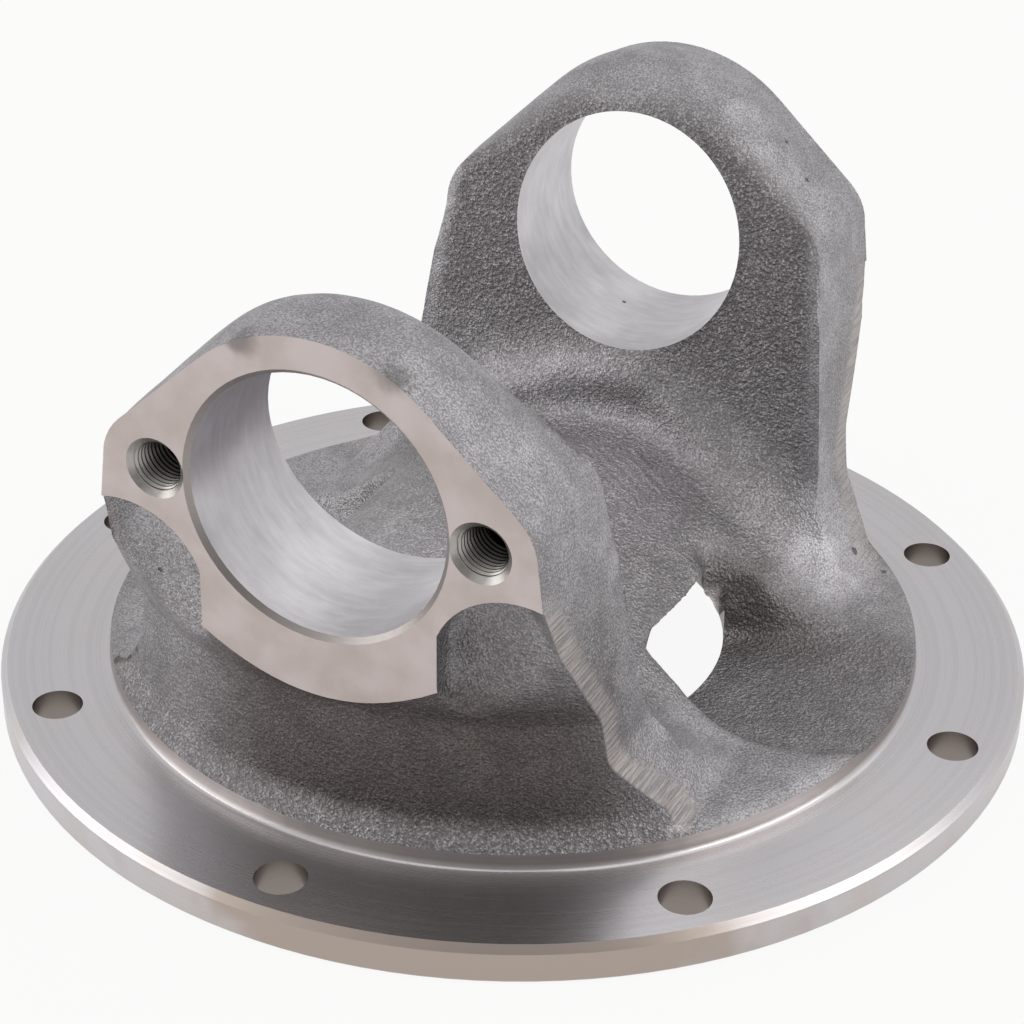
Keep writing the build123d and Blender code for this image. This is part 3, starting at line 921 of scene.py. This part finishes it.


# The painted light here and half a turn round the shaft axis, with the saddle's middle and the windows'
# edges
def paintedLightMask(points):
    edge = yoke["throatRadius"] + strips["throatEdge"]
    mask = stripMask(points) * (np.hypot(points[:, 0], points[:, 1]) < edge)
    for side in (-1, 1):
        for path, reach, share in paintedLight.values():
            away = fromPath(points * np.array([side, side, 1]), path)
            mask = np.maximum(mask, bell(away, 0, reach) * share)
    place = {"x": np.abs(points[:, 0]), "y": np.abs(points[:, 1]), "z": points[:, 2]}
    return np.maximum(mask, stepped(place, *paintedLightMiddle))


masks = {"coarse": coarseMask, "paintedShade": paintedShadeMask, "strip": stripMask, "paintedLight": paintedLightMask}


# The mesh in metres, one material to each zone and one attribute to each mask
def meshPiece(name, points, faces, zone, materials):
    mesh = bpy.data.meshes.new(name)
    mesh.from_pydata(points * mm, [], faces)
    for material in materials:
        mesh.materials.append(material)
    mesh.polygons.foreach_set("material_index", zone.astype(np.int32))
    mesh.polygons.foreach_set("use_smooth", np.ones(len(faces), bool))
    sharpEdges(mesh, points, faces, zone)
    for label, mask in masks.items():
        mesh.attributes.new(label, "FLOAT", "POINT").data.foreach_set("value", mask(points))
    mesh.update()
    piece = bpy.data.objects.new(name, mesh)
    bpy.context.scene.collection.objects.link(piece)
    return piece


# Looks of the surfaces: colours are linear
looks = {
    "coarseDark": (0.155, 0.144, 0.147),
    "coarseLight": (0.44, 0.42, 0.43),
    "fineDark": (0.23, 0.22, 0.228),
    "fineLight": (0.54, 0.525, 0.545),
    "strip": (0.50, 0.45, 0.425),
    # painted shade: the darker, browner tint laid where the skin is painted shaded
    "paintedShadeTint": (0.40, 0.36, 0.325),
    "machined": (0.58, 0.56, 0.58),
    "machinedWarm": (0.55, 0.50, 0.47),
    "groove": (0.2, 0.195, 0.2),
    # dark of the pits, cracks and smudges; also painted shade deep in the threads, under the cracks' burrs
    # and by the crown
    "markAndShade": (0.10, 0.092, 0.088),
    "padCool": (0.57, 0.505, 0.49),
    "padWarm": (0.49, 0.42, 0.395),
    "boreDark": (0.49, 0.47, 0.49),
    "boreLight": (0.64, 0.62, 0.645),
    "boreEdge": (0.34, 0.31, 0.295),
    "shoulder": (0.40, 0.37, 0.355),
    "drilled": (0.27, 0.235, 0.215),
    "threadDark": (0.34, 0.32, 0.30),
    "threadLight": (0.50, 0.48, 0.46),
    "rimWarm": (0.42, 0.355, 0.315),
    "throat": (0.30, 0.26, 0.235),
    # the first of these two is painted light: it lightens the colour under it
    "paintedLight": (1.5, 1.5, 1.52),  # these two multiply the colour under them
    "plain": (1.0, 1.0, 1.0),
}

# How the cast skin is drawn: sizes in mm, the weights of the parts of a mix, and where a mix begins and ends
castLook = {
    "broad": 15.0,
    "patches": 5.0,
    "warp": (3.0, 0.7),  # size and reach of what bends the pebbles
    "pebbles": (0.75, 0.42),
    "lumps": 0.85,
    "grain": 0.36,
    "pits": 1.0,
    "ridges": (0.5, 1.1, 0.06),  # size, and how fast they change across and along
    "coarseMix": (0.3, 0.5, 0.4, 0.4, 0.2),
    "coarseSpan": (0.8, 1.24),
    "fineMix": (0.3, 0.3, 0.4, 0.6),
    "fineSpan": (0.6, 1.15),
    "ridgeSpan": (0.38, 0.62),
    "ridgeDark": 0.75,  # how much of the fine skin's dark the ridges' ground has
    "stripShare": 0.8,
    "markAndShadeShare": 0.85,
    "streakAt": ((11.0, 25.0, 32.5), 13.0),
    "streakWay": (0.57, 0.82),
    "streaks": (2.6, 0.22),  # how close and how high
    "pebbleHeight": (0.15, 0.55),  # height, and what coarseness adds to it
    "lumpHeight": (0.5, 1.5),
    "smallHeight": 0.4,
    "grainHeight": 0.3,
    "ridgeHeight": 1.1,
    "pitDepth": 2.0,
    "bump": 0.27,
    "roughness": (0.36, 0.1, 0.12),  # least, and what fine skin and grain add
    "metallic": 0.9,
}

# Marks of this one forging, seen in the photograph: pits, cracks from trimming whose dark line is partly
# painted shadow under their burr, and smudges that are partly painted shadow, with their radius in mm
marks = {
    "pits": [((55.4, 46.0, 16.1), 0.9), ((61.4, 47.4, 12.2), 0.7), ((-34.7, -72.4, 50.1), 0.5),
             ((27.5, 66.0, 93.4), 0.5), ((33.5, 63.0, 87.5), 0.6)],
    "cracks": [((-60.4, -51.6, 11.8), (-56.3, -53.6, 14.8), 1.0),
               ((-56.3, -53.6, 14.8), (-52.2, -56.8, 19.2), 0.7)],
    "smudgesAndShadows": [((-13.5, -77.0, 102.4), 3.8), ((15.2, -76.3, 102.2), 3.9)],
    "smudgeShadowCore": 0.25,
    "smudgeShadowShare": 0.6,
    "rimStain": ((38.0, -94.0, 3.0), 56.0),
    "borePits": [((-6.6, 65.8, 50.4), 0.5)],
}


# The parts of a mix, each times its weight, added up
def weighted(parts, weights):
    total = parts[0] * weights[0]
    for part, weight in zip(parts[1:], weights[1:]):
        total = total + part * weight
    return total


# Dark patches by the front ear's crown, on the skin and on the pad: partly smudges, partly painted shadow
def smudgedAndShaded(f, colour, rag):
    smudgeShadow = 0.0
    for centre, radius in marks["smudgesAndShadows"]:
        smudgeShadow = f.spot(centre, radius, rag, marks["smudgeShadowCore"]) + smudgeShadow
    return f.mixed(smudgeShadow * marks["smudgeShadowShare"], colour, looks["markAndShade"])


# The forging's skin: coarse pebbles where scale was, fine blasted grain elsewhere, the strips' ridges,
# painted shade and painted light
def castFinish():
    f = Finish("forged_skin")
    c = castLook
    coarse = f.attribute("coarse")
    paintedShade = f.attribute("paintedShade")
    strip = f.attribute("strip")
    broad = f.noise(c["broad"])
    warpSize, bend = c["warp"]
    warp = f.noise(warpSize, 2.0)
    bent = f.joined(f.x + warp * bend, f.y + warp * bend, f.z - warp * bend)
    large = f.pebbles(c["pebbles"][0], bent)
    lumps = f.noise(c["lumps"], 3.0, 0.6, bent)
    small = f.pebbles(c["pebbles"][1])
    grain = f.noise(c["grain"], 2.0, 0.6)
    patchy = f.noise(c["patches"])
    roughMix = weighted((large, lumps, small, grain, patchy), c["coarseMix"]).between(*c["coarseSpan"])
    rough = f.mixed(roughMix, looks["coarseDark"], looks["coarseLight"])
    fineMix = weighted((broad, patchy, small, grain), c["fineMix"]).between(*c["fineSpan"])
    fine = f.mixed(fineMix, looks["fineDark"], looks["fineLight"])
    colour = f.mixed(coarse, fine, rough)
    size, across, along = c["ridges"]
    ridges = f.noise(size, 2.0, 0.6, f.joined(f.x * across, f.y * along, f.z * across))
    ground = f.mixed(c["ridgeDark"], looks["strip"], looks["fineDark"])
    colour = f.mixed(strip * c["stripShare"], colour,
                     f.mixed(ridges.between(*c["ridgeSpan"]), ground, looks["strip"]))
    # painted shade: the colour is darkened and browned where the shade mask is high, but not on the strips
    dim = f.mixed(paintedShade * (1.0 - strip), looks["plain"], looks["paintedShadeTint"])
    colour = f.mixed(1.0, colour, dim, "MULTIPLY")
    # painted light: the colour is made up to half again as light along the bead, the dish, the saddle's
    # middle and the windows' edges
    colour = f.mixed(f.attribute("paintedLight"), colour, looks["paintedLight"], "MULTIPLY")
    pitted = f.noise(c["pits"], 2.0, 0.6)
    hurtAndShadow = 0.0
    for centre, radius in marks["pits"]:
        hurtAndShadow = f.spot(centre, radius, pitted) + hurtAndShadow
    # the cracks' dark line is partly painted shadow under their burr
    for start, end, radius in marks["cracks"]:
        hurtAndShadow = f.crack(start, end, radius, pitted) + hurtAndShadow
    colour = smudgedAndShaded(f, f.mixed(hurtAndShadow * c["markAndShadeShare"], colour, looks["markAndShade"]), pitted)
    # faint streaks where the metal flowed over the saddle
    wayX, wayY = c["streakWay"]
    close, high = c["streaks"]
    flow = (f.x * wayX + f.y * wayY) + (warp - 0.5) * 2.0
    streaked = f.spot(*c["streakAt"], warp) * (flow * close).math("SINE")
    pebbled, morePebbled = c["pebbleHeight"]
    lumped, moreLumped = c["lumpHeight"]
    height = large * (pebbled + coarse * morePebbled) + lumps * (lumped + coarse * moreLumped)
    height = height + small * c["smallHeight"] + grain * c["grainHeight"]
    height = height * (1.0 - strip * c["stripShare"]) + ridges * strip * c["ridgeHeight"]
    height = height + streaked * high - hurtAndShadow * c["pitDepth"]
    least, fromFine, fromGrain = c["roughness"]
    roughness = least + (1.0 - coarse) * fromFine + grain * fromGrain
    return f.finished(colour, roughness, f.bumped(height, 1.0, c["bump"]), c["metallic"])


# Turned about the shaft axis: rings of tool marks, softly mottled
def turnedFinish(name, colour, roughness, grooves=0.35, warm=0.2, turning=0.0, stain=None):
    f = Finish(name)
    radius = (f.x * f.x + f.y * f.y).math("POWER", 0.5)
    rings = f.noise(1.0, 4.0, 0.7, f.joined(radius * 1.6, f.z * 1.6, 0.0))
    mottle = f.noise(18.0)
    tint = f.mixed(mottle.between(0.35, 0.75) * warm, colour, looks["machinedWarm"])
    tint = f.mixed(rings.between(0.35, 0.65) * 0.12, tint, looks["groove"])
    if stain:
        tint = f.mixed(f.spot(*stain, mottle), tint, looks["rimWarm"])
    return f.finished(tint, roughness + rings * 0.12, f.bumped(rings, grooves, 0.02), turning=turning)


# Bored about the cross axis: marks run round the bore
def boredFinish():
    f = Finish("bored_steel")
    rings = f.noise(1.0, 4.0, 0.7, f.joined(f.y * 1.8, f.x * 0.02, f.z * 0.02))
    streaks = f.noise(1.0, 4.0, 0.65, f.joined(f.y * 0.7, f.x * 0.12, f.z * 0.12))
    mottle = f.noise(9.0, 4.0)
    tint = f.mixed((mottle * 0.5 + streaks * 0.5).between(0.3, 0.7), looks["boreDark"], looks["boreLight"])
    for centre, radius in marks["borePits"]:
        tint = f.mixed(f.spot(centre, radius, streaks), tint, looks["markAndShade"])
    return f.finished(tint, 0.27 + rings * 0.12 + streaks * 0.08, f.bumped(rings, 0.35, 0.03))


# Milled flat: fine scratches across the pad, a warm mottle and the smudges, partly painted shadow
def padFinish():
    f = Finish("milled_pad")
    mottle = f.noise(9.0, 4.0)
    tint = f.mixed(mottle.between(0.3, 0.7), looks["padWarm"], looks["padCool"])
    scratch = f.noise(1.2, 4.0, 0.7, f.joined(f.x * 0.3 + f.z * 1.4, 0.0, f.z * 0.1))
    return f.finished(smudgedAndShaded(f, tint, mottle), 0.38 + scratch * 0.12, f.bumped(scratch, 0.3, 0.02))


# Drilled along the shaft axis: rings down the wall
def holeFinish():
    f = Finish("drilled_steel")
    rings = f.noise(1.0, 3.0, 0.6, f.joined(0.0, 0.0, f.z * 2.0))
    return f.finished(looks["drilled"], 0.28 + rings * 0.1, f.bumped(rings, 0.4, 0.03))


# Threads get darker with depth, from oil and painted shade
def threadFinish():
    f = Finish("tapped_steel")
    grain = f.noise(1.0)
    deep = f.y.math("ABSOLUTE").between(yoke["padDistance"] - 0.5, yoke["padDistance"] - 8.0)
    bright = f.mixed(grain, looks["threadDark"], looks["threadLight"])
    return f.finished(f.mixed(deep, bright, looks["markAndShade"]), 0.32 + grain * 0.1)


turned = turnedFinish("turned_steel", looks["machined"], 0.21, turning=0.7)
rimmed = turnedFinish("turned_rim", looks["machined"], 0.34, 0.5, 0.9, stain=marks["rimStain"])
shouldered = turnedFinish("turned_shoulder", looks["shoulder"], 0.36, 0.5, 0.5)
landed = turnedFinish("throat_land", looks["throat"], 0.45)
edged = turnedFinish("bore_edge", looks["boreEdge"], 0.35)
materials = [castFinish(), turned, rimmed, turned, shouldered, padFinish(), boredFinish(), holeFinish(),
             threadFinish(), landed, edged]     # in the order of zones

points, faces, zone = forgedSurface()
body = meshPiece("forged_body", points, faces, zone, materials)
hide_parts("forged_yoke")
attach(body, "root")
print("forging made,", len(faces), "triangles,", {n: int((zone == k).sum()) for k, n in enumerate(zones)})


# Floor, backdrop and light. A light's place is azimuth and elevation in degrees, then its distance in m.
studio = {
    "floorSize": 6.0,
    "floorColour": (0.56, 0.52, 0.49),
    "whiteShare": 0.92,  # how much of the floor the camera sees as plain white
    "worldLight": 0.95,
    "frontDim": 0.6,  # how much darker the studio is on the photographer's side
    "frontWay": (45.0, 25.0),  # its azimuth and elevation
    "frontReach": (0.52, 0.95),  # cosines of the angles from it where the dimming begins and is full
    "top": (150.0, 75.0, 1.5, 7.0, 2.4),  # azimuth, elevation, distance, power, size
    "right": (95.0, 30.0, 1.5, 8.5, 1.2),
    "left": (300.0, 14.0, 1.3, 6.0, 1.1),
    "aimHeight": 0.05,  # height over the floor that the lamps stand round, in m
}


# A square on the ground that looks white and is lit as plain grey
def addFloor():
    half = studio["floorSize"] / 2
    mesh = bpy.data.meshes.new("floor")
    corners = [(-half, -half, 0), (half, -half, 0), (half, half, 0), (-half, half, 0)]
    mesh.from_pydata(corners, [], [(0, 1, 2, 3)])
    f = Finish("floor_white")
    plain = f.add("ShaderNodeBsdfDiffuse", {}, {"Color": studio["floorColour"]})
    white = f.add("ShaderNodeEmission", {}, {"Color": looks["plain"], "Strength": 1.0})
    values = {0: f.shown() * studio["whiteShare"], 1: plain, 2: white}
    shader = f.add("ShaderNodeMixShader", {}, values)
    f.add("ShaderNodeOutputMaterial", {}, {"Surface": shader})
    mesh.materials.append(f.material)
    floor = bpy.data.objects.new("floor", mesh)
    bpy.context.scene.collection.objects.link(floor)


# The camera, reflections and glass see white. The photographer's side of the studio is dim but for the
# camera.
def addWorld():
    world = bpy.data.worlds.new("studio")
    world.use_nodes = True
    f = Nodes(world.node_tree)
    way = f.add("ShaderNodeTexCoord", {}, {}, "Generated")
    facing = f.vector("DOT_PRODUCT", way, tuple(wayTo(*studio["frontWay"])), "Value")
    camera = f.add("ShaderNodeLightPath", {}, {}, "Is Camera Ray")
    white = f.shown() * (1.0 - studio["worldLight"]) + studio["worldLight"]
    strength = white * (1.0 - facing.between(*studio["frontReach"]) * (1.0 - camera) * studio["frontDim"])
    light = f.add("ShaderNodeBackground", {}, {"Strength": strength})
    f.add("ShaderNodeOutputWorld", {}, {"Surface": light})
    bpy.context.scene.world = world


# A round lamp that faces the part
def addLight(name):
    azimuth, elevation, distance, power, size = studio[name]
    way = wayTo(azimuth, elevation)
    data = bpy.data.lights.new(name, "AREA")
    data.shape = "DISK"
    data.size = size
    data.energy = power
    light = bpy.data.objects.new(name, data)
    light.location = way * distance + Vector((0, 0, studio["aimHeight"]))
    light.rotation_euler = way.to_track_quat("Z", "Y").to_euler()
    bpy.context.scene.collection.objects.link(light)


addFloor()
addWorld()
for lamp in ("top", "right", "left"):
    addLight(lamp)
bpy.context.scene.view_settings.view_transform = "Standard"
print("floor, backdrop and lights placed")
